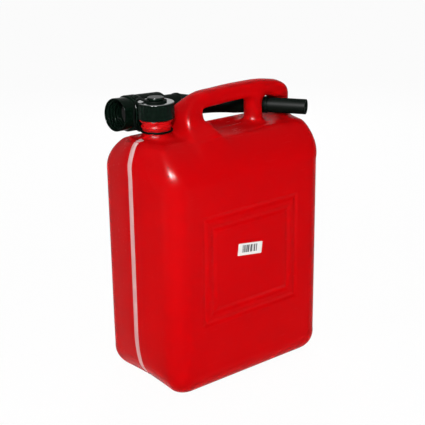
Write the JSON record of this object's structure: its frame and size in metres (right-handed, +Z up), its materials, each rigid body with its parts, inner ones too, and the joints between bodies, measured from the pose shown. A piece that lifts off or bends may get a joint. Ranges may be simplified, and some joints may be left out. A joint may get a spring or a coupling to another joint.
{
  "type": "plastic fuel can",
  "caption": "Upright blow-moulded plastic fuel can with a carrying handle, tethered screw cap and a bent pouring spout stowed through the handle.",
  "frame": {"origin": "middle of the base, at the level that the can stands on", "axes": "+Z up, +X from the neck towards the rear of the handle, +Y towards the side where the stowed spout lies"},
  "size_m": [0.2596, 0.1564, 0.369],
  "materials": {
    "red_polyethylene": "semi-gloss blow-moulded skin",
    "clear_polyethylene": "milky natural plastic",
    "paper_sticker": "matt paper",
    "black_strap": "flexible, satin",
    "gasket_rubber": "matt",
    "black_cap": "semi-gloss moulded",
    "black_spout": "satin moulded"
  },
  "bodies": {
    "tank": {"tank": "red_polyethylene", "level_stripe": "clear_polyethylene", "price_sticker": "paper_sticker", "cap_tether": "black_strap"},
    "cap_seal": {"cap_gasket": "gasket_rubber"},
    "cap": {"cap": "black_cap"},
    "spout": {"spout_tube": "black_spout", "spout_nozzle": "black_spout", "spout_gasket": "gasket_rubber"},
    "spout_nut": {"spout_nut": "black_cap"}
  },
  "joints": [
    {"name": "cap_lift", "type": "slide", "parent": "tank", "child": "cap_seal", "axis": [0, 0, 1], "range_m": [0, 0.0151], "deforming": ["cap_tether"]},
    {"name": "cap_turn", "type": "hinge", "parent": "cap_seal", "child": "cap", "pos_m": [-0.0875, 0, 0.344], "axis": [0, 0, 1], "range_deg": [0, 1080]},
    {"name": "spout_withdraw", "type": "slide", "parent": "tank", "child": "spout", "axis": [-0.5446, 0.8387, 0], "range_m": [0, 0.09]},
    {"name": "spout_nut_turn", "type": "hinge", "parent": "spout", "child": "spout_nut", "pos_m": [-0.11717, 0.04514, 0.3435], "axis": [0.9928, 0.0991, -0.0669], "continuous": true}
  ],
  "couplings": [
    {"joint": "cap_lift", "follows": "cap_turn", "m_per_rad": 0.00079577}
  ]
}
